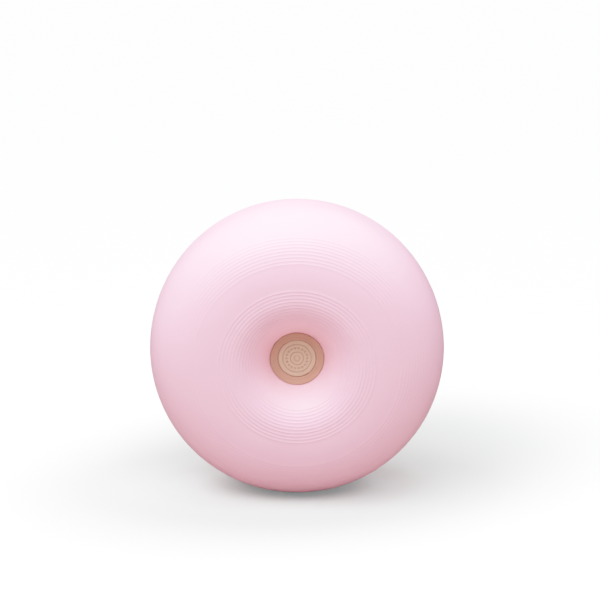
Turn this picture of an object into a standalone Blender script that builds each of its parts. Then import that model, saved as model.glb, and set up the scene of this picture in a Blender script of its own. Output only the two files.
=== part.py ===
"""Inflatable donut ball standing on its edge.

The ball is a hollow vinyl ring with a deep dimple in each face. A moulded hub closes each
dimple, a tube ties the two hubs together through the middle, and the rear hub carries the
air valve with its pull-out plug. Metres, +Z up, front dimple towards -Y.
"""
import math

import bmesh
import bpy

# ---- driving dimensions of the ball ------------------------------------------------------
BALL_RADIUS = 0.225          # centre line to the tread
HALF_THICKNESS = 0.125       # middle plane to the crest of either face
CREST_RADIUS = 0.102         # where each face stands proudest
TREAD_EXPONENT = 2.55        # fullness of the tyre-like outer side
FLARE_ACROSS = 0.080         # half-widths of the ellipse that the dimple's flare follows,
FLARE_DOWN = 0.140           # across the axis and along it
THROAT_RADIUS = 0.0406       # where the flare turns into the neck that grips a hub
SKIN = 0.0016                # wall of the inflated vinyl
NECK_END = 0.0595            # inner end of the straight neck, from the middle plane
REST_SINK = 0.002            # how far the tread flattens where it stands
GAP = 0.0003                 # clearance between pieces that touch

# ---- hubs, tie tube and valve ------------------------------------------------------------
HUB_RADIUS = THROAT_RADIUS - GAP
HUB_FACE = 0.0752            # outermost face of a hub, from the middle plane
HUB_WALL = 0.0030            # moulded walls of a hub
RIM_ROUND = 0.0012           # rounding of a hub's rim
DISH_DEPTH = 0.0018          # fall of a hub's face from its rim to the pocket's edge
POCKET_RADIUS = 0.0288       # recess that takes the emblem disc or the valve disc
POCKET_FLOOR = 0.0680
DISC_RADIUS = POCKET_RADIUS - GAP
DISC_FACE = 0.0722           # the discs lie a little below the pocket's edge
DISC_BACK = POCKET_FLOOR + GAP
DISC_ROUND = 0.0009
FLANGE_RADIUS = 0.0462       # inner flange that stops the neck
FLANGE_BACK = 0.0555
FLANGE_TOP = 0.0591
CLAMP_START = 0.0596
CLAMP_LENGTH = 0.0092
CLAMP_CHAMFER = 0.0006
TUBE_RADIUS = 0.0240
TUBE_BORE = 0.0210
SPIGOT_END = 0.0430
SPIGOT_CHAMFER = 0.0010
AIR_HOLE_RADIUS = 0.005
VALVE_NECK_RADIUS = 0.0120
VALVE_NECK_END = 0.0500
VALVE_BORE = 0.0064
PLUG_RADIUS = VALVE_BORE - GAP
PLUG_LENGTH = 0.0210
PLUG_TIP_LENGTH = 0.0030     # tapered lead-in at the shank's inner end
PLUG_TIP_TAPER = 0.0016
PLUG_HEAD_RADIUS = 0.0105
PLUG_HEAD_THICKNESS = 0.0032
PLUG_HEAD_ROUND = 0.0008
PLUG_SEAT_DEPTH = 0.0022     # recess in the valve disc that takes the plug's head
LIP_WIDTH = 0.0026           # raised lip around the plug's head, for a fingernail
LIP_HEIGHT = 0.0010

# ---- fineness of the mesh ----------------------------------------------------------------
BALL_STEPS = 48              # around the skin and the clamps
HUB_STEPS = 36
SMALL_STEPS = 24
DRILL_STEPS = 16
FLARE_STEPS = 6              # along the dimple's flare
TREAD_STEPS = 7              # from a crest out to the tread's middle
DISH_STEPS = 3               # across a hub's dished face
EDGE_STEPS = 2               # around a rounded edge
MERGE = 0.00001
SMOOTH_ANGLE = math.radians(35)

BLUSH = (0.83, 0.56, 0.63, 1.0)
SAND = (0.62, 0.40, 0.32, 1.0)
MILK = (0.75, 0.62, 0.56, 1.0)


def clear_scene():
    for old in list(bpy.data.objects):
        bpy.data.objects.remove(old, do_unlink=True)


def new_collection(name):
    group = bpy.data.collections.new(name)
    bpy.context.scene.collection.children.link(group)
    return group


def plastic(name, colour, roughness):
    material = bpy.data.materials.new(name)
    material.use_nodes = True
    shader = material.node_tree.nodes["Principled BSDF"]
    shader.inputs["Base Color"].default_value = colour
    shader.inputs["Roughness"].default_value = roughness
    return material


def turned(name, profile, steps, closed, material, group, axle):
    """A profile of (radius, height) points turned about the ball's axis."""
    mesh = bpy.data.meshes.new(name)
    count = len(profile)
    edges = [(i, i + 1) for i in range(count - 1)]
    if closed:
        edges.append((count - 1, 0))
    mesh.from_pydata([(radius, 0.0, height) for radius, height in profile], edges, [])
    piece = bpy.data.objects.new(name, mesh)
    group.objects.link(piece)
    piece.parent = axle
    screw = piece.modifiers.new("turn", "SCREW")
    screw.axis = "Z"
    screw.angle = math.tau
    screw.steps = steps
    screw.render_steps = steps
    screw.use_merge_vertices = True
    screw.merge_threshold = MERGE
    screw.use_smooth_shade = True
    mesh.materials.append(material)
    return piece


def bake(piece):
    """Replace a piece's modifiers by the mesh that they make."""
    bpy.context.view_layer.update()
    evaluated = piece.evaluated_get(bpy.context.evaluated_depsgraph_get())
    mesh = bpy.data.meshes.new_from_object(evaluated)
    piece.modifiers.clear()
    piece.data = mesh
    return mesh


def rounded_edge(radius, face, size):
    """Points of a quarter-round from a face at (radius - size) out to its side."""
    points = []
    for i in range(EDGE_STEPS + 1):
        turn = math.pi / 2 * i / EDGE_STEPS
        points.append((radius - size * (1 - math.sin(turn)), face - size * (1 - math.cos(turn))))
    return points


def face_outline():
    """The skin from the front neck, out over the crest, to the equator of the tread."""
    points = [(THROAT_RADIUS, NECK_END)]
    flare_turn = math.asin((CREST_RADIUS - THROAT_RADIUS) / FLARE_ACROSS)
    for i in range(FLARE_STEPS):
        turn = flare_turn * (1 - i / FLARE_STEPS)
        points.append((CREST_RADIUS - FLARE_ACROSS * math.sin(turn),
                       HALF_THICKNESS - FLARE_DOWN * (1 - math.cos(turn))))
    for i in range(TREAD_STEPS + 1):
        turn = math.pi / 2 * (1 - i / TREAD_STEPS)
        out = math.cos(turn) ** (2 / TREAD_EXPONENT) if turn < math.pi / 2 else 0.0
        up = math.sin(turn) ** (2 / TREAD_EXPONENT) if turn > 0 else 0.0
        points.append((CREST_RADIUS + (BALL_RADIUS - CREST_RADIUS) * out, HALF_THICKNESS * up))
    return points


def make_skin(material, group, axle):
    """The inflated bladder: an open ring of even wall, with a neck in each dimple."""
    front = face_outline()
    rear = [(radius, -height) for radius, height in reversed(front[:-1])]
    skin = turned("bladder_skin", front + rear, BALL_STEPS, False, material, group, axle)
    mesh = bake(skin)

    # The tread is pressed flat where the ball stands: local Y is up.
    ground = -(BALL_RADIUS - REST_SINK)
    body = bmesh.new()
    body.from_mesh(mesh)
    everything = body.verts[:] + body.edges[:] + body.faces[:]
    bmesh.ops.bisect_plane(body, geom=everything, dist=MERGE,
                           plane_co=(0, ground, 0), plane_no=(0, 1, 0))
    for vertex in body.verts:
        vertex.co.y = max(vertex.co.y, ground)
    body.to_mesh(mesh)
    body.free()

    wall = skin.modifiers.new("wall", "SOLIDIFY")
    wall.thickness = SKIN
    wall.offset = -1.0
    wall.use_even_offset = True
    wall.use_rim = True
    mesh.set_sharp_from_angle(angle=SMOOTH_ANGLE)
    return skin


def hub_front(side):
    """The visible side of a hub, from its pocket's wall out over the rim: (radius, height)."""
    points = [(POCKET_RADIUS, POCKET_FLOOR)]
    rim = rounded_edge(HUB_RADIUS, HUB_FACE, RIM_ROUND)
    for i in range(DISH_STEPS):
        share = i / DISH_STEPS
        points.append((POCKET_RADIUS + (rim[0][0] - POCKET_RADIUS) * share,
                       HUB_FACE - DISH_DEPTH * (1 - share ** 2)))
    return [(radius, side * height) for radius, height in points + rim]


def hub_back(side, bore):
    """The hidden side: flange, moulded hollow and the spigot that enters the tie tube."""
    roof = POCKET_FLOOR - HUB_WALL
    spigot = TUBE_BORE - GAP
    points = [
        (HUB_RADIUS, FLANGE_TOP),
        (FLANGE_RADIUS, FLANGE_TOP),
        (FLANGE_RADIUS, FLANGE_BACK),
        (HUB_RADIUS - HUB_WALL, FLANGE_BACK),
        (HUB_RADIUS - HUB_WALL, roof),
        (TUBE_RADIUS + HUB_WALL, roof),
        (TUBE_RADIUS + HUB_WALL, FLANGE_BACK),
        (spigot, FLANGE_BACK),
        (spigot, SPIGOT_END + SPIGOT_CHAMFER),
        (spigot - SPIGOT_CHAMFER, SPIGOT_END),
    ]
    if bore:
        points += [(bore, SPIGOT_END), (bore, POCKET_FLOOR)]
    else:
        points += [(spigot - HUB_WALL, SPIGOT_END), (spigot - HUB_WALL, roof), (0.0, roof)]
    return [(radius, side * height) for radius, height in points]


def make_front_hub(material, group, axle):
    outline = [(0.0, POCKET_FLOOR)] + hub_front(1) + hub_back(1, None)
    return turned("front_hub", outline, HUB_STEPS, False, material, group, axle)


def make_rear_hub(material, group, axle):
    outline = hub_front(-1) + hub_back(-1, VALVE_NECK_RADIUS + GAP)
    outline.reverse()
    return turned("rear_hub", outline, HUB_STEPS, True, material, group, axle)


def make_emblem_disc(material, group, axle):
    """Flat-faced disc with a soft edge, set in the front hub's pocket."""
    outline = [(0.0, DISC_FACE)]
    outline += rounded_edge(DISC_RADIUS, DISC_FACE, DISC_ROUND)
    outline += [(DISC_RADIUS, DISC_BACK), (0.0, DISC_BACK)]
    return turned("front_emblem_disc", outline, HUB_STEPS, False, material, group, axle)


def make_clamp_ring(name, side, material, group, axle):
    """Band inside the bladder that squeezes a neck onto its hub."""
    inside = THROAT_RADIUS + SKIN + GAP
    end = CLAMP_START + CLAMP_LENGTH
    outline = [
        (inside, end),
        (FLANGE_RADIUS - CLAMP_CHAMFER, end),
        (FLANGE_RADIUS, end - CLAMP_CHAMFER),
        (FLANGE_RADIUS, CLAMP_START),
        (inside, CLAMP_START),
    ]
    outline = [(radius, side * height) for radius, height in outline]
    if side < 0:
        outline.reverse()
    return turned(name, outline, BALL_STEPS, True, material, group, axle)


def make_valve_disc(material, group, axle):
    """Soft disc in the rear hub's pocket, with the neck that the air goes through."""
    seat_radius = PLUG_HEAD_RADIUS + GAP
    outline = [
        (VALVE_BORE, DISC_FACE - PLUG_SEAT_DEPTH),
        (seat_radius, DISC_FACE - PLUG_SEAT_DEPTH),
        (seat_radius, DISC_FACE),
    ]
    outline += rounded_edge(DISC_RADIUS, DISC_FACE, DISC_ROUND)
    outline += [
        (DISC_RADIUS, DISC_BACK),
        (VALVE_NECK_RADIUS, DISC_BACK),
        (VALVE_NECK_RADIUS, VALVE_NECK_END),
        (VALVE_BORE, VALVE_NECK_END),
    ]
    outline = [(radius, -height) for radius, height in reversed(outline)]
    return turned("rear_valve_disc", outline, HUB_STEPS, True, material, group, axle)


def make_plug(material, group, axle):
    """Pull-out stopper: a tapered shank under a thin head with a finger lip."""
    seat = DISC_FACE - PLUG_SEAT_DEPTH + GAP
    end = seat - PLUG_LENGTH
    top = seat + PLUG_HEAD_THICKNESS
    outline = [
        (0.0, end),
        (PLUG_RADIUS - PLUG_TIP_TAPER, end),
        (PLUG_RADIUS, end + PLUG_TIP_LENGTH),
        (PLUG_RADIUS, seat),
        (PLUG_HEAD_RADIUS, seat),
        (PLUG_HEAD_RADIUS, top - PLUG_HEAD_ROUND),
        (PLUG_HEAD_RADIUS - PLUG_HEAD_ROUND, top),
        (PLUG_HEAD_RADIUS - LIP_WIDTH, top),
        (PLUG_HEAD_RADIUS - LIP_WIDTH - PLUG_HEAD_ROUND, top - LIP_HEIGHT),
        (0.0, top - LIP_HEIGHT),
    ]
    outline = [(radius, -height) for radius, height in outline]
    return turned("valve_plug", outline, SMALL_STEPS, False, material, group, axle)


def make_tie_tube(material, group, cutters, axle):
    """Tube between the hubs; four holes let the air into the ring around it."""
    half = FLANGE_BACK - GAP
    outline = [
        (TUBE_BORE, half),
        (TUBE_RADIUS, half),
        (TUBE_RADIUS, -half),
        (TUBE_BORE, -half),
    ]
    tube = turned("hub_tie_tube", outline, SMALL_STEPS, True, material, group, axle)
    for number, spin in enumerate((0.0, math.pi / 2)):
        bpy.ops.mesh.primitive_cylinder_add(vertices=DRILL_STEPS, radius=AIR_HOLE_RADIUS,
                                            depth=3 * TUBE_RADIUS)
        drill = bpy.context.object
        drill.name = f"air_hole_drill_{number + 1}"
        for holder in list(drill.users_collection):
            holder.objects.unlink(drill)
        cutters.objects.link(drill)
        drill.parent = axle
        drill.rotation_euler = (math.pi / 2, 0.0, spin + math.pi / SMALL_STEPS)
        drill.hide_render = True
        drill.display_type = "WIRE"
        cut = tube.modifiers.new(drill.name, "BOOLEAN")
        cut.operation = "DIFFERENCE"
        cut.solver = "EXACT"
        cut.object = drill
    return tube


def build():
    clear_scene()
    group = new_collection("donut_ball")
    cutters = new_collection("cutters")

    # The axle carries every turned piece: its local Z is the ball's axis, towards the front.
    axle = bpy.data.objects.new("axle", None)
    group.objects.link(axle)
    axle.location = (0.0, 0.0, BALL_RADIUS - REST_SINK)
    axle.rotation_euler = (math.pi / 2, 0.0, 0.0)

    vinyl = plastic("blush_vinyl", BLUSH, 0.38)
    hub_plastic = plastic("sand_plastic", SAND, 0.5)
    soft_plastic = plastic("milky_soft_plastic", MILK, 0.45)

    make_skin(vinyl, group, axle)
    make_front_hub(hub_plastic, group, axle)
    make_emblem_disc(plastic("sand_emblem", SAND, 0.5), group, axle)
    make_rear_hub(hub_plastic, group, axle)
    make_valve_disc(soft_plastic, group, axle)
    make_plug(plastic("plug_plastic", MILK, 0.4), group, axle)
    make_clamp_ring("front_neck_clamp", 1, soft_plastic, group, axle)
    make_clamp_ring("rear_neck_clamp", -1, soft_plastic, group, axle)
    make_tie_tube(hub_plastic, group, cutters, axle)


build()
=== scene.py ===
"""Looks of the inflatable donut ball: ridged satin vinyl, moulded hubs, studio."""
import bisect
import math

import bmesh
import bpy
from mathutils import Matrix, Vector


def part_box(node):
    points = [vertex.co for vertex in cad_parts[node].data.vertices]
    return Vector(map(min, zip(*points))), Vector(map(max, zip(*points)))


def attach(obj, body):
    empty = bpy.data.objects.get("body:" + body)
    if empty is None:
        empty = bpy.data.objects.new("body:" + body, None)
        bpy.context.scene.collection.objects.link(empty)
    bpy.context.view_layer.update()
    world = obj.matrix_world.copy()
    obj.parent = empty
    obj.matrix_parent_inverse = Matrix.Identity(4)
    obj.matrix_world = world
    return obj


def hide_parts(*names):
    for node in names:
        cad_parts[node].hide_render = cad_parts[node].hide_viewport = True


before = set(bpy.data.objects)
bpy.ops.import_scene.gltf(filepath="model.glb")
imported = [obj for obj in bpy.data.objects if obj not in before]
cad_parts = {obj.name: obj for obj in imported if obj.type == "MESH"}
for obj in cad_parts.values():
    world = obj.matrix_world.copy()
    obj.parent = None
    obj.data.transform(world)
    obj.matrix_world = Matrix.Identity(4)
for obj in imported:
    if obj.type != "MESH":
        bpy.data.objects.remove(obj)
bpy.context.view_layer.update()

# ---- the ball's own frame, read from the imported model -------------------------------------
_, SKIN_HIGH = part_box("bladder_skin")
BALL_RADIUS = SKIN_HIGH[0]
HALF_THICKNESS = SKIN_HIGH[1]
AXLE_HEIGHT = SKIN_HIGH[2] - BALL_RADIUS
HUB_LOW, HUB_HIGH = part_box("front_hub")
HUB_FACE = -HUB_LOW[1]
FLANGE_RADIUS = HUB_HIGH[0]
SPIGOT_END = -HUB_HIGH[1]
DISC_LOW, DISC_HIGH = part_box("front_emblem_disc")
DISC_RADIUS = DISC_HIGH[0]
DISC_FACE = -DISC_LOW[1]
DISC_BACK = -DISC_HIGH[1]
PLUG_LOW, PLUG_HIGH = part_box("valve_plug")
PLUG_HEAD_RADIUS = PLUG_HIGH[0]
PLUG_TOP = PLUG_HIGH[1]
PLUG_END = PLUG_LOW[1]
VALVE_LOW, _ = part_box("rear_valve_disc")
VALVE_NECK_END = VALVE_LOW[1]

# ---- the shape that the boxes do not give, in metres ---------------------------------------
CREST_RADIUS = 0.102
TREAD_EXPONENT = 2.55
FLARE_ACROSS = 0.080
FLARE_DOWN = 0.140
THROAT_RADIUS = 0.0406
NECK_END = 0.0595
NECK_BEND = 0.0012              # mesh lead-in where the neck turns into the flare
SKIN = 0.0016
GAP = 0.0003
FLAT_BLEND = 0.0008             # rounding between the tread and the flat it stands on

RIB_PITCH = 0.0050
RIB_WIDTH = 0.0026
RIB_HEIGHT = 0.00036
# Bands of ribs: first rib along the skin from the crest (outwards positive), count, height.
RIB_BANDS = ((-0.0368, 11, RIB_HEIGHT), (0.0530, 9, 0.00022))
RIB_OFFSETS = (-0.5, -0.25, 0.0, 0.25, 0.5)
PARTING_WIDTH = 0.0014
PARTING_HEIGHT = 0.00020
PLAIN_STEP = 0.0042             # spacing of the mesh where the skin is smooth

BALL_STEPS = 216                # around the axle
HUB_STEPS = 192
PLUG_STEPS = 96
FACE_SAMPLES = 700              # along the flare, and along the tread
INSIDE_STEPS = 26               # along the inner wall of one face
FILLET_STEPS = 5
FILLET_SHARE = 0.49             # largest part of a side that one fillet may take
NEARLY_STRAIGHT = 0.02          # radians
ON_AXIS = 1e-7                  # a radius below this is a point on the axle


def smooth_face():
    """One face of the ball without ribs, from the neck's end out to the tread's middle."""
    crest = HALF_THICKNESS - RIB_HEIGHT
    tread = BALL_RADIUS - PARTING_HEIGHT
    flare_turn = math.asin((CREST_RADIUS - THROAT_RADIUS) / FLARE_ACROSS)
    points = [(THROAT_RADIUS, NECK_END)]
    for i in range(FACE_SAMPLES + 1):
        turn = flare_turn * (1 - i / FACE_SAMPLES)
        points.append((CREST_RADIUS - FLARE_ACROSS * math.sin(turn),
                       crest - FLARE_DOWN * (1 - math.cos(turn))))
    for i in range(1, FACE_SAMPLES + 1):
        turn = math.pi / 2 * i / FACE_SAMPLES
        out = math.sin(turn) ** (2 / TREAD_EXPONENT)
        up = max(math.cos(turn), 0.0) ** (2 / TREAD_EXPONENT)
        points.append((CREST_RADIUS + (tread - CREST_RADIUS) * out, crest * up))
    return points


class Track:
    """A smooth polyline that can be read by the distance along it."""

    def __init__(self, points):
        self.points = points
        self.lengths = [0.0]
        for a, b in zip(points, points[1:]):
            self.lengths.append(self.lengths[-1] + math.dist(a, b))

    def at(self, distance):
        """Point and unit normal (to the left of travel) at a distance."""
        distance = min(max(distance, 0.0), self.lengths[-1])
        high = min(max(bisect.bisect_right(self.lengths, distance), 1), len(self.lengths) - 1)
        low = high - 1
        a, b = self.points[low], self.points[high]
        span = self.lengths[high] - self.lengths[low] or 1.0
        share = (distance - self.lengths[low]) / span
        dx, dy = b[0] - a[0], b[1] - a[1]
        size = math.hypot(dx, dy) or 1.0
        return ((a[0] + dx * share, a[1] + dy * share), (-dy / size, dx / size))


def rib_shape(offset):
    """Height of a rib at an offset of its width from its middle."""
    return 0.5 + 0.5 * math.cos(2 * math.pi * offset)


def face_outline():
    """The ribbed skin from the neck's end over the crest to the tread's middle."""
    track = Track(smooth_face())
    neck = track.lengths[1]
    crest = track.lengths[1 + FACE_SAMPLES]
    total = track.lengths[-1]
    stations = {0.0: 0.0, neck - NECK_BEND: 0.0, neck: 0.0}
    covered = []
    for start, count, rib_height in RIB_BANDS:
        for number in range(count):
            middle = crest + start + number * RIB_PITCH
            for offset in RIB_OFFSETS:
                stations[middle + offset * RIB_WIDTH] = rib_height * rib_shape(offset)
        covered.append((crest + start - RIB_PITCH / 2,
                        crest + start + (count - 0.5) * RIB_PITCH))
    steps = round((total - neck) / PLAIN_STEP)
    for i in range(1, steps + 1):
        distance = neck + (total - neck) * i / steps
        if not any(low < distance < high for low, high in covered):
            stations.setdefault(distance, 0.0)
    for offset in RIB_OFFSETS[:3]:
        stations[total + offset * PARTING_WIDTH] = PARTING_HEIGHT * rib_shape(offset)
    points = []
    for distance in sorted(stations):
        (radius, height), (across, up) = track.at(distance)
        lift = stations[distance]
        points.append((radius + across * lift, height + up * lift))
    return points


def turned(name, outline, steps, closed, shape=None):
    """A mesh turned about the ball's axis from (radius, height) points, height forwards.

    An open outline starts and ends on the axis. shape(radius, height, angle) may return
    a new (radius, height) for each point.
    """
    body = bmesh.new()
    rings = []
    for radius, height in outline:
        if radius < ON_AXIS:
            rings.append([body.verts.new((0.0, -height, AXLE_HEIGHT))])
            continue
        ring = []
        for k in range(steps):
            angle = math.tau * k / steps
            r, h = shape(radius, height, angle) if shape else (radius, height)
            ring.append(body.verts.new((r * math.sin(angle), -h,
                                        AXLE_HEIGHT + r * math.cos(angle))))
        rings.append(ring)
    pairs = list(zip(rings, rings[1:]))
    if closed:
        pairs.append((rings[-1], rings[0]))
    for inner, outer in pairs:
        for k in range(steps):
            following = (k + 1) % steps
            if len(inner) == 1:
                body.faces.new((inner[0], outer[k], outer[following]))
            elif len(outer) == 1:
                body.faces.new((inner[k], outer[0], inner[following]))
            else:
                body.faces.new((inner[k], outer[k], outer[following], inner[following]))
    bmesh.ops.recalc_face_normals(body, faces=body.faces)
    mesh = bpy.data.meshes.new(name)
    body.to_mesh(mesh)
    body.free()
    mesh.shade_smooth()
    piece = bpy.data.objects.new(name, mesh)
    bpy.context.scene.collection.objects.link(piece)
    return piece


def rounded(corners):
    """A polyline of (radius, height, fillet) corners with each corner turned to an arc."""
    points = []
    last = len(corners) - 1
    for i, (r, h, fillet) in enumerate(corners):
        if fillet <= 0 or i in (0, last):
            points.append((r, h))
            continue
        here = Vector((r, h))
        before = Vector(corners[i - 1][:2]) - here
        after = Vector(corners[i + 1][:2]) - here
        opening = before.angle(after)
        if opening > math.pi - NEARLY_STRAIGHT:
            points.append((r, h))
            continue
        reach = min(fillet / math.tan(opening / 2), before.length * FILLET_SHARE,
                    after.length * FILLET_SHARE)
        fit = reach * math.tan(opening / 2)
        bisector = (before.normalized() + after.normalized()).normalized()
        centre = here + bisector * (fit / math.sin(opening / 2))
        start = here + before.normalized() * reach - centre
        end = here + after.normalized() * reach - centre
        swing = start.angle_signed(end)
        for k in range(FILLET_STEPS + 1):
            turn = -swing * k / FILLET_STEPS
            points.append((centre.x + start.x * math.cos(turn) - start.y * math.sin(turn),
                           centre.y + start.x * math.sin(turn) + start.y * math.cos(turn)))
    return points


def inside_outline():
    """The skin's inner wall for one face, from the neck's end to the tread's middle."""
    track = Track(smooth_face())
    points = []
    for i in range(INSIDE_STEPS + 1):
        (radius, height), (across, up) = track.at(track.lengths[-1] * i / INSIDE_STEPS)
        points.append((radius - across * SKIN, height - up * SKIN))
    return points


def mirrored(points):
    """The same points on the rear face, in the opposite order."""
    return [(radius, -height) for radius, height in reversed(points)]


def press_flat(piece, first, last, ground):
    """Flatten the vertices from first to last where they would go below the ground."""
    for vertex in piece.data.vertices[first:last]:
        depth = vertex.co.z - ground
        if depth < -FLAT_BLEND:
            vertex.co.z = ground
        elif depth < FLAT_BLEND:
            vertex.co.z = ground + (depth + FLAT_BLEND) ** 2 / (4 * FLAT_BLEND)


def make_skin():
    """The vinyl ring: both ribbed faces, the inner wall, and the flat it stands on."""
    face = face_outline()
    face[-1] = (BALL_RADIUS, 0.0)
    outside = face + mirrored(face[:-1])
    inside_face = inside_outline()
    inside = inside_face + mirrored(inside_face[:-1])
    outline = outside + inside[::-1]
    skin = turned("ribbed_skin", outline, BALL_STEPS, True)
    split = len(outside) * BALL_STEPS
    press_flat(skin, 0, split, 0.0)
    press_flat(skin, split, len(skin.data.vertices), SKIN)
    return skin


# ---- hubs, discs and plug ------------------------------------------------------------------
POCKET_RADIUS = DISC_RADIUS + GAP
POCKET_FLOOR = DISC_BACK - GAP
HUB_RADIUS = THROAT_RADIUS - GAP
FLANGE_TOP = 0.0591
FLANGE_BACK = 0.0555
SPIGOT_RADIUS = 0.0200
DISH_EDGE = (0.0018, 0.0006)            # at the pocket: depth below the rim, fillet
DISH_BEND = (0.0046, 0.0016, 0.0040)    # out from the pocket, depth below the rim, fillet
RIM_WIDTH = 0.0014
RIM_FILLET = 0.0010
CRISP_FILLET = 0.0003
FLANGE_FILLET = 0.0005
SPIGOT_FILLET = 0.0008
TUBE_FILLET = 0.0004                    # both edges of the rear spigot, around the valve


def hub_face_corners():
    """Pocket wall, dished annulus and rim of a hub: (radius, height, fillet)."""
    edge_depth, edge_fillet = DISH_EDGE
    bend_out, bend_depth, bend_fillet = DISH_BEND
    return [
        (POCKET_RADIUS, POCKET_FLOOR, CRISP_FILLET),
        (POCKET_RADIUS, HUB_FACE - edge_depth, edge_fillet),
        (POCKET_RADIUS + bend_out, HUB_FACE - bend_depth, bend_fillet),
        (HUB_RADIUS - RIM_WIDTH, HUB_FACE, RIM_FILLET),
        (HUB_RADIUS, HUB_FACE, CRISP_FILLET),
        (HUB_RADIUS, FLANGE_TOP, 0.0),
        (FLANGE_RADIUS, FLANGE_TOP, FLANGE_FILLET),
        (FLANGE_RADIUS, FLANGE_BACK, FLANGE_FILLET),
    ]


def make_front_hub():
    """Closed hub: a pocket in front, a solid spigot behind."""
    corners = [(0.0, POCKET_FLOOR, 0.0)] + hub_face_corners()
    corners += [
        (SPIGOT_RADIUS, FLANGE_BACK, FLANGE_FILLET),
        (SPIGOT_RADIUS, SPIGOT_END, SPIGOT_FILLET),
        (0.0, SPIGOT_END, 0.0),
    ]
    return turned("moulded_front_hub", rounded(corners), HUB_STEPS, False)


def make_rear_hub():
    """The same hub with a bore for the valve's neck."""
    bore = VALVE_NECK_RADIUS + GAP
    corners = hub_face_corners()
    corners += [
        (SPIGOT_RADIUS, FLANGE_BACK, FLANGE_FILLET),
        (SPIGOT_RADIUS, SPIGOT_END, TUBE_FILLET),
        (bore, SPIGOT_END, TUBE_FILLET),
        (bore, POCKET_FLOOR, 0.0),
    ]
    points = [(radius, -height) for radius, height in rounded(corners)]
    return turned("moulded_rear_hub", points, HUB_STEPS, True)


def ramp(value, low, high):
    """Smooth step from 0 at low to 1 at high."""
    share = min(max((value - low) / (high - low), 0.0), 1.0)
    return share * share * (3 - 2 * share)


def band(value, low, high, soft):
    """1 between low and high, falling to 0 over a soft edge on either side."""
    return ramp(value, low - soft, low) * (1 - ramp(value, high, high + soft))


DISC_ROUND = 0.0014                     # soft edge of the emblem disc
DISC_ROUND_STEPS = 6
DISC_RING_STEP = 0.0003                 # spacing of the mesh rings that carry the engraving
ON_FACE = 1e-6                          # how far below the face a point still lies on it
EMBLEM_DEPTH = 0.0010
EMBLEM_EDGE = 0.0007
EMBLEM_DOTS = 18
EMBLEM_DOT_RADIUS = 0.0013
EMBLEM_DOT_RING = 0.0158
EMBLEM_CIRCLES = ((0.0212, 0.0218), (0.0096, 0.0102), (0.0038, 0.0044))


def emblem_cut(radius, angle):
    """A plain engraved pattern: a ring of round dimples between plain circles."""
    sector = math.tau / EMBLEM_DOTS
    across = ((angle % sector) - sector / 2) * radius
    away = math.hypot(radius - EMBLEM_DOT_RING, across)
    cuts = [1 - ramp(away, EMBLEM_DOT_RADIUS, EMBLEM_DOT_RADIUS + EMBLEM_EDGE)]
    cuts += [band(radius, *circle, EMBLEM_EDGE) for circle in EMBLEM_CIRCLES]
    return EMBLEM_DEPTH * max(cuts)


def make_emblem_disc():
    """Flat disc with a soft edge and the pattern cut into its face."""
    flat = DISC_RADIUS - DISC_ROUND
    rings = int(flat / DISC_RING_STEP) - 1
    outline = [(0.0, DISC_FACE)]
    outline += [(DISC_RING_STEP * (i + 1), DISC_FACE) for i in range(rings)]
    for i in range(DISC_ROUND_STEPS + 1):
        turn = math.pi / 2 * i / DISC_ROUND_STEPS
        outline.append((flat + DISC_ROUND * math.sin(turn),
                        DISC_FACE - DISC_ROUND + DISC_ROUND * math.cos(turn)))
    outline += [(DISC_RADIUS, DISC_BACK), (0.0, DISC_BACK)]

    def engraved(radius, height, angle):
        cut = emblem_cut(radius, angle) if height > DISC_FACE - ON_FACE else 0.0
        return radius, height - cut

    return turned("engraved_emblem_disc", outline, 2 * HUB_STEPS, False, engraved)


VALVE_NECK_RADIUS = 0.0120
VALVE_BORE = 0.0064
PLUG_HEAD_THICKNESS = 0.0032
VALVE_FACE = DISC_FACE - 0.0001
VALVE_HOLLOW = DISC_FACE - 0.0007       # shallow ring between the recess and the disc's edge
HOLLOW_START = (0.0022, 0.0030)         # its inner slope, outwards from the recess
HOLLOW_END = (0.0046, 0.0038)           # its outer slope, inwards from the disc's edge
HOLLOW_FILLET = 0.0006
RECESS_FILLET = 0.0005
VALVE_EDGE_FILLET = 0.0010
VALVE_BACK_FILLET = 0.0004
VALVE_NECK_FILLET = 0.0006
BORE_BREAK = 0.0040                     # a ring of the bore's wall just below the seat


def make_valve_disc():
    """Soft disc with a recess for the plug's head and a neck with the air passage."""
    seat = PLUG_TOP - PLUG_HEAD_THICKNESS - GAP
    recess = PLUG_HEAD_RADIUS + GAP
    corners = [
        (VALVE_BORE, seat, CRISP_FILLET),
        (recess, seat, CRISP_FILLET),
        (recess, VALVE_FACE, RECESS_FILLET),
        (recess + HOLLOW_START[0], VALVE_FACE, RECESS_FILLET),
        (recess + HOLLOW_START[1], VALVE_HOLLOW, HOLLOW_FILLET),
        (DISC_RADIUS - HOLLOW_END[0], VALVE_HOLLOW, HOLLOW_FILLET),
        (DISC_RADIUS - HOLLOW_END[1], VALVE_FACE, HOLLOW_FILLET),
        (DISC_RADIUS, VALVE_FACE, VALVE_EDGE_FILLET),
        (DISC_RADIUS, DISC_BACK, VALVE_BACK_FILLET),
        (VALVE_NECK_RADIUS, DISC_BACK, 0.0),
        (VALVE_NECK_RADIUS, VALVE_NECK_END, VALVE_NECK_FILLET),
        (VALVE_BORE, VALVE_NECK_END, VALVE_NECK_FILLET),
        (VALVE_BORE, seat - BORE_BREAK, 0.0),
    ]
    points = [(radius, -height) for radius, height in rounded(corners)]
    return turned("soft_valve_disc", points, HUB_STEPS, True)


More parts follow.
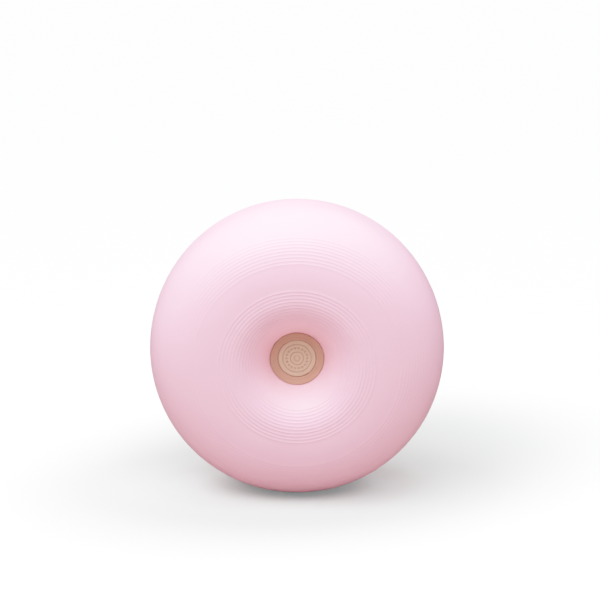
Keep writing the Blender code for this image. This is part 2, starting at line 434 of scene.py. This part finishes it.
PLUG_RADIUS = VALVE_BORE - GAP
TIP_TAPER = 0.0016
TIP_LENGTH = 0.0030
TIP_FILLETS = (0.0006, 0.0020)          # at the tip's end and where the shank is full
HEAD_FILLETS = (0.0004, 0.0009)         # under the head and on top of its edge
LIP_INSIDE = (0.0026, 0.0038)           # the finger lip's inner slope, in from the edge
LIP_DEPTH = 0.0012
LIP_FILLETS = (0.0008, 0.0010)
HEAD_DISH = 0.0010                      # depth of the head's middle below the lip


def make_plug():
    """Stopper: a tapered shank under a thin head with a finger lip."""
    seat = PLUG_TOP - PLUG_HEAD_THICKNESS
    corners = [
        (0.0, PLUG_END, 0.0),
        (PLUG_RADIUS - TIP_TAPER, PLUG_END, TIP_FILLETS[0]),
        (PLUG_RADIUS, PLUG_END + TIP_LENGTH, TIP_FILLETS[1]),
        (PLUG_RADIUS, seat, 0.0),
        (PLUG_HEAD_RADIUS, seat, HEAD_FILLETS[0]),
        (PLUG_HEAD_RADIUS, PLUG_TOP, HEAD_FILLETS[1]),
        (PLUG_HEAD_RADIUS - LIP_INSIDE[0], PLUG_TOP, LIP_FILLETS[0]),
        (PLUG_HEAD_RADIUS - LIP_INSIDE[1], PLUG_TOP - LIP_DEPTH, LIP_FILLETS[1]),
        (0.0, PLUG_TOP - HEAD_DISH, 0.0),
    ]
    points = [(radius, -height) for radius, height in rounded(corners)]
    return turned("pull_out_plug", points, PLUG_STEPS, False)


# ---- materials -----------------------------------------------------------------------------
# Sockets of a Mix node in its colour mode, which share their names with its other modes.
MIX_FACTOR, MIX_FIRST, MIX_SECOND = 0, 6, 7
MIX_RESULT = 2


class Paint:
    """A Principled material with helpers for the few node patterns used here."""

    def __init__(self, name):
        self.material = bpy.data.materials.new(name)
        self.material.use_nodes = True
        self.nodes = self.material.node_tree.nodes
        self.links = self.material.node_tree.links
        self.shader = self.nodes["Principled BSDF"]
        self.place = self.nodes.new("ShaderNodeTexCoord").outputs["Object"]

    def set(self, **values):
        for key, value in values.items():
            self.shader.inputs[key.replace("_", " ")].default_value = value

    def noise(self, scale, detail=2.0, roughness=0.5):
        node = self.nodes.new("ShaderNodeTexNoise")
        node.inputs["Scale"].default_value = scale
        node.inputs["Detail"].default_value = detail
        node.inputs["Roughness"].default_value = roughness
        self.links.new(self.place, node.inputs["Vector"])
        return node.outputs["Fac"]

    def distance(self, centre, axes, turn=0.0):
        """Distance from a point, with each axis weighted, the axes turned about Z."""
        offset = self.nodes.new("ShaderNodeVectorMath")
        offset.operation = "SUBTRACT"
        offset.inputs[1].default_value = centre
        self.links.new(self.place, offset.inputs[0])
        turned_back = self.nodes.new("ShaderNodeVectorRotate")
        turned_back.rotation_type = "Z_AXIS"
        turned_back.inputs["Angle"].default_value = -turn
        self.links.new(offset.outputs["Vector"], turned_back.inputs["Vector"])
        flat = self.nodes.new("ShaderNodeVectorMath")
        flat.operation = "MULTIPLY"
        flat.inputs[1].default_value = axes
        self.links.new(turned_back.outputs["Vector"], flat.inputs[0])
        size = self.nodes.new("ShaderNodeVectorMath")
        size.operation = "LENGTH"
        self.links.new(flat.outputs["Vector"], size.inputs[0])
        return size.outputs["Value"]

    def spread(self, value, low, high, start=0.0, end=1.0):
        node = self.nodes.new("ShaderNodeMapRange")
        node.inputs["From Min"].default_value = start
        node.inputs["From Max"].default_value = end
        node.inputs["To Min"].default_value = low
        node.inputs["To Max"].default_value = high
        self.links.new(value, node.inputs["Value"])
        return node.outputs["Result"]

    def mix(self, factor, first, second):
        node = self.nodes.new("ShaderNodeMix")
        node.data_type = "RGBA"
        self.links.new(factor, node.inputs[MIX_FACTOR])
        for number, colour in ((MIX_FIRST, first), (MIX_SECOND, second)):
            socket = node.inputs[number]
            if isinstance(colour, tuple):
                socket.default_value = colour
            else:
                self.links.new(colour, socket)
        return node.outputs[MIX_RESULT]

    def feed(self, socket, value):
        self.links.new(value, self.shader.inputs[socket])

    def bump(self, layers):
        """layers: (height, strength, distance), laid over one another."""
        previous = None
        for height, strength, distance in layers:
            node = self.nodes.new("ShaderNodeBump")
            node.inputs["Strength"].default_value = strength
            node.inputs["Distance"].default_value = distance
            self.links.new(height, node.inputs["Height"])
            if previous is not None:
                self.links.new(previous, node.inputs["Normal"])
            previous = node.outputs["Normal"]
        self.feed("Normal", previous)


# The photo's dimple is lighter and warmer than the lights alone make it, so the vinyl is
# painted so inside this radius. The wall is no thicker there.
# Painted light: the lighter, warmer pink stands in for light bounced about the dimple.
PAINTED_GLOW_ZONE = 0.078
VINYL = (0.810, 0.435, 0.590, 1.0)
VINYL_CLOUD = (0.838, 0.460, 0.622, 1.0)
VINYL_GRAIN = (0.848, 0.490, 0.644, 1.0)
VINYL_PAINTED_GLOW = (0.950, 0.540, 0.655, 1.0)
VINYL_ROUGHNESS = (0.34, 0.46)
SAND = ((0.505, 0.258, 0.188, 1.0), (0.535, 0.283, 0.210, 1.0))
PALE_SAND = ((0.580, 0.392, 0.288, 1.0), (0.620, 0.426, 0.318, 1.0))
MILK = ((0.74, 0.62, 0.56, 1.0), (0.78, 0.67, 0.61, 1.0))
# Painted shade for the bottom of the engraving.
ENGRAVING_SHADE = (0.22, 0.115, 0.075, 1.0)
ENGRAVING_SHADE_COVER = 0.30               # share of painted shade at the bottom of the engraving
# Stretch of a noise's mid-range that is spread to the full range.
CLOUDED = (0.3, 0.7)
GRAINED = (0.35, 0.65)


def vinyl_material():
    """Satin inflated vinyl: faint clouding, fine grain, soft sheen of handling, a painted glow in
    the dimple.
    """
    paint = Paint("blush_vinyl")
    cloud = paint.spread(paint.noise(9.0, 3.0), 0.0, 1.0, *CLOUDED)
    speck = paint.spread(paint.noise(700.0, 2.0), 0.0, 1.0, *GRAINED)
    ground = paint.mix(cloud, VINYL, VINYL_CLOUD)
    grained = paint.mix(paint.spread(speck, 0.0, 0.35), ground, VINYL_GRAIN)
    radius = paint.distance((0.0, 0.0, AXLE_HEIGHT), (1.0, 0.0, 1.0))
    # Painted light: the vinyl turns lighter and warmer towards the dimple.
    painted_glow = paint.spread(radius, 1.0, 0.0, THROAT_RADIUS, PAINTED_GLOW_ZONE)
    paint.feed("Base Color", paint.mix(painted_glow, grained, VINYL_PAINTED_GLOW))
    paint.feed("Roughness", paint.spread(paint.noise(22.0, 4.0), *VINYL_ROUGHNESS, *CLOUDED))
    paint.set(Specular_IOR_Level=0.40, IOR=1.45)
    paint.bump([(paint.noise(60.0, 2.0), 0.06, 0.0006), (paint.noise(1500.0, 3.0), 0.10, 0.00015)])
    return paint.material


def hub_material(name, colours, roughness, shade_from=None):
    """Moulded sand-coloured plastic with a fine spark-eroded texture.

    A painted shade darkens whatever lies deeper than shade_from, measured along the ball's axis.
    """
    paint = Paint(name)
    base, light = colours
    cloud = paint.spread(paint.noise(60.0, 3.0), 0.0, 1.0, *CLOUDED)
    speck = paint.spread(paint.noise(2400.0, 2.0), 0.0, 0.4, *GRAINED)
    ground = paint.mix(cloud, base, light)
    colour = paint.mix(speck, ground, light)
    if shade_from is not None:
        # Painted shade in the engraving's recesses.
        depth = paint.distance((0.0, 0.0, 0.0), (0.0, 1.0, 0.0))
        painted_shade = paint.spread(depth, ENGRAVING_SHADE_COVER, 0.0, shade_from - EMBLEM_DEPTH, shade_from)
        colour = paint.mix(painted_shade, colour, ENGRAVING_SHADE)
    paint.feed("Base Color", colour)
    paint.feed("Roughness", paint.spread(paint.noise(140.0, 3.0), roughness - 0.05,
                                         roughness + 0.07, *CLOUDED))
    paint.bump([(paint.noise(2600.0, 3.0), 0.12, 0.0001)])
    return paint.material


# The floor's shade is partly painted. Most of the FLOOR_ numbers down to FLOOR_PATCH come from
# a numerical fit of the rendered floor to the photo's, rounded, so they suit its angle only.
# Paper as the camera sees it, in the ball's wide soft shade and out of it. The shade's outline
# is (centre, weight of each axis, turn), and its reach runs from full shade to none.
FLOOR_SEEN = ((0.497, 0.517, 0.512, 1.0), (0.845, 0.862, 0.858, 1.0))
FLOOR_SHADE = ((0.040, 0.094, 0.0), (0.67, 1.0, 0.0), math.radians(27.6))
FLOOR_SHADE_REACH = (0.175, 0.438)
# Painted light: paper lightened close to the contact patch, and a faint glow there that only the
# camera sees.
FLOOR_PAINTED_LIFT = (0.93, 1.0, 0.99, 1.0)
FLOOR_PAINTED_LIFT_REACH = (0.0, 0.187)
FLOOR_FILL = (0.84, 1.0, 0.98, 1.0)
FLOOR_FILL_STRENGTH = 0.137
FLOOR_FILL_REACH = (0.071, 0.112)
FLOOR_PATCH = ((-0.015, -0.008, 0.0), (0.545, 1.0, 0.0))
# Paper as the ball is lit by it, much darker and warmer than it looks: tuned so that
# the ball's underside comes out as in the photo.
FLOOR_BOUNCE = (0.51, 0.41, 0.36, 1.0)
BLACK = (0.0, 0.0, 0.0, 1.0)
WHITE = (1.0, 1.0, 1.0, 1.0)
FLOOR_HALF = 40.0


def floor_material():
    """Matt paper with a painted shade and painted light, of one colour to the camera and another
    to the ball.
    """
    paint = Paint("pale_floor")

    def beyond(outline, reach):
        away = paint.spread(paint.distance(*outline), 0.0, 1.0, *reach)
        away.node.interpolation_type = "SMOOTHSTEP"
        return away

    # Painted shade in a wide oval, painted light near the contact patch, and a glow that only the
    # camera sees.
    wide = paint.mix(beyond(FLOOR_SHADE, FLOOR_SHADE_REACH), *FLOOR_SEEN)
    seen = paint.mix(beyond(FLOOR_PATCH, FLOOR_PAINTED_LIFT_REACH), FLOOR_PAINTED_LIFT, wide)
    fill = paint.mix(beyond(FLOOR_PATCH, FLOOR_FILL_REACH), FLOOR_FILL, BLACK)
    ray = paint.nodes.new("ShaderNodeLightPath").outputs["Is Camera Ray"]
    paint.feed("Base Color", paint.mix(ray, FLOOR_BOUNCE, seen))
    paint.feed("Emission Color", paint.mix(ray, BLACK, fill))
    paint.set(Roughness=0.9, Specular_IOR_Level=0.0, Emission_Strength=FLOOR_FILL_STRENGTH)
    return paint.material


def give(piece, material):
    piece.data.materials.clear()
    piece.data.materials.append(material)


# ---- camera, floor and light ---------------------------------------------------------------
VIEW_ELEVATION = math.radians(15.3)
VIEW_DISTANCE = 2.5
VIEW_LENS = 97.5
VIEW_SENSOR = 36.0
AIM_RIGHT = 0.0046
AIM_UP = 0.0702

# World light by the height of its direction: a glow that gathers overhead.
SKY = ((-1.0, (0.02, 0.02, 0.02)), (0.45, (0.03, 0.03, 0.03)), (1.0, (3.00, 3.00, 3.00)))
KEY_FROM = (-0.26, -0.44, 1.0)
KEY_STRENGTH = 1.0
KEY_SPREAD = math.radians(70)
KEY_DISTANCE = 2
BOX_PLACE = (-0.34, -0.57, 1.45)
BOX_POWER = 9.0
BOX_SIZE = 1.3
WHITE_POINT = 1.51
SHOULDER_GAIN = 1.06
SHOULDER_RATE = 1.9
SHOULDER_POINTS = 12
SHOULDER_SPACING = 1.5          # above 1, the curve's points crowd towards the dark end
COMBINED_CURVE = 3              # after the red, green and blue ones


def make_camera():
    data = bpy.data.cameras.new("camera")
    data.lens = VIEW_LENS
    data.sensor_width = VIEW_SENSOR
    camera = bpy.data.objects.new("camera", data)
    bpy.context.scene.collection.objects.link(camera)
    middle = Vector((0.0, 0.0, AXLE_HEIGHT))
    back = Vector((0.0, -math.cos(VIEW_ELEVATION), math.sin(VIEW_ELEVATION)))
    camera.location = middle + back * VIEW_DISTANCE
    lift = Vector((0.0, math.sin(VIEW_ELEVATION), math.cos(VIEW_ELEVATION)))
    aim = middle + lift * AIM_UP + Vector((AIM_RIGHT, 0.0, 0.0))
    camera.rotation_euler = (aim - camera.location).to_track_quat("-Z", "Y").to_euler()
    bpy.context.scene.camera = camera


def make_floor():
    half = FLOOR_HALF
    mesh = bpy.data.meshes.new("studio_floor")
    mesh.from_pydata([(-half, -half, 0), (half, -half, 0), (half, half, 0), (-half, half, 0)],
                     [], [(0, 1, 2, 3)])
    floor = bpy.data.objects.new("studio_floor", mesh)
    bpy.context.scene.collection.objects.link(floor)
    give(floor, floor_material())
    # The gloss on the ball doesn't reflect the floor.
    floor.visible_glossy = False


def make_lights():
    world = bpy.data.worlds.new("white_studio")
    bpy.context.scene.world = world
    world.use_nodes = True
    nodes, links = world.node_tree.nodes, world.node_tree.links
    background = nodes["Background"]
    way = nodes.new("ShaderNodeSeparateXYZ")
    links.new(nodes.new("ShaderNodeTexCoord").outputs["Generated"], way.inputs[0])
    rise = nodes.new("ShaderNodeMapRange")
    rise.inputs["From Min"].default_value = -1.0
    links.new(way.outputs["Z"], rise.inputs["Value"])
    sky = nodes.new("ShaderNodeValToRGB")
    links.new(rise.outputs["Result"], sky.inputs["Fac"])
    brightest = max(max(light) for _, light in SKY)
    stops = sky.color_ramp.elements
    for height, _ in SKY[1:-1]:
        stops.new((height + 1) / 2)
    for stop, (_, light) in zip(stops, SKY):
        stop.color = [part / brightest for part in light] + [1.0]
    # The eye sees white paper behind the ball, not the dark sides of the light tent.
    backdrop = nodes.new("ShaderNodeMix")
    backdrop.data_type = "RGBA"
    ray = nodes.new("ShaderNodeLightPath").outputs["Is Camera Ray"]
    links.new(ray, backdrop.inputs[MIX_FACTOR])
    links.new(sky.outputs["Color"], backdrop.inputs[MIX_FIRST])
    backdrop.inputs[MIX_SECOND].default_value = WHITE
    links.new(backdrop.outputs[MIX_RESULT], background.inputs["Color"])
    background.inputs["Strength"].default_value = brightest
    far = bpy.data.lights.new("overhead_tent", "SUN")
    far.energy = KEY_STRENGTH
    far.angle = KEY_SPREAD
    near = bpy.data.lights.new("overhead_softbox", "AREA")
    near.shape = "DISK"
    near.size = BOX_SIZE
    near.energy = BOX_POWER
    middle = Vector((0.0, 0.0, AXLE_HEIGHT))
    for data, source in ((far, middle + Vector(KEY_FROM) * KEY_DISTANCE),
                         (near, Vector(BOX_PLACE))):
        light = bpy.data.objects.new(data.name, data)
        light.location = source
        light.rotation_euler = (middle - source).to_track_quat("-Z", "Y").to_euler()
        bpy.context.scene.collection.objects.link(light)


def make_exposure():
    """A curve that lifts the middle tones and rolls off the brightest, as in the photo.

    The colours of the materials were chosen under it, and look different without it.
    """
    settings = bpy.context.scene.view_settings
    settings.view_transform = "Standard"
    settings.use_curve_mapping = True
    mapping = settings.curve_mapping
    mapping.white_level = (WHITE_POINT, WHITE_POINT, WHITE_POINT)
    curve = mapping.curves[COMBINED_CURVE]
    for step in range(1, SHOULDER_POINTS):
        light = (step / SHOULDER_POINTS) ** SHOULDER_SPACING
        shown = SHOULDER_GAIN * (1 - math.exp(-SHOULDER_RATE * WHITE_POINT * light))
        curve.points.new(light, shown)
    mapping.update()


# ---- assembly ------------------------------------------------------------------------------
def place(piece, body, node, material):
    give(piece, material)
    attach(piece, body)
    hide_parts(node)


vinyl = vinyl_material()
sand = hub_material("sand_plastic", SAND, 0.45)
pale_sand = hub_material("pale_sand_plastic", PALE_SAND, 0.5)
engraving_shaded_sand = hub_material("engraved_sand_plastic", PALE_SAND, 0.5, DISC_FACE)
milk = hub_material("milky_plastic", MILK, 0.38)

place(make_skin(), "ball", "bladder_skin", vinyl)
place(make_front_hub(), "ball", "front_hub", sand)
place(make_emblem_disc(), "ball", "front_emblem_disc", engraving_shaded_sand)
place(make_rear_hub(), "ball", "rear_hub", sand)
place(make_valve_disc(), "ball", "rear_valve_disc", pale_sand)
place(make_plug(), "plug", "valve_plug", milk)
for hidden in ("front_neck_clamp", "rear_neck_clamp"):
    give(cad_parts[hidden], milk)
give(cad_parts["hub_tie_tube"], sand)

make_camera()
make_floor()
make_lights()
make_exposure()
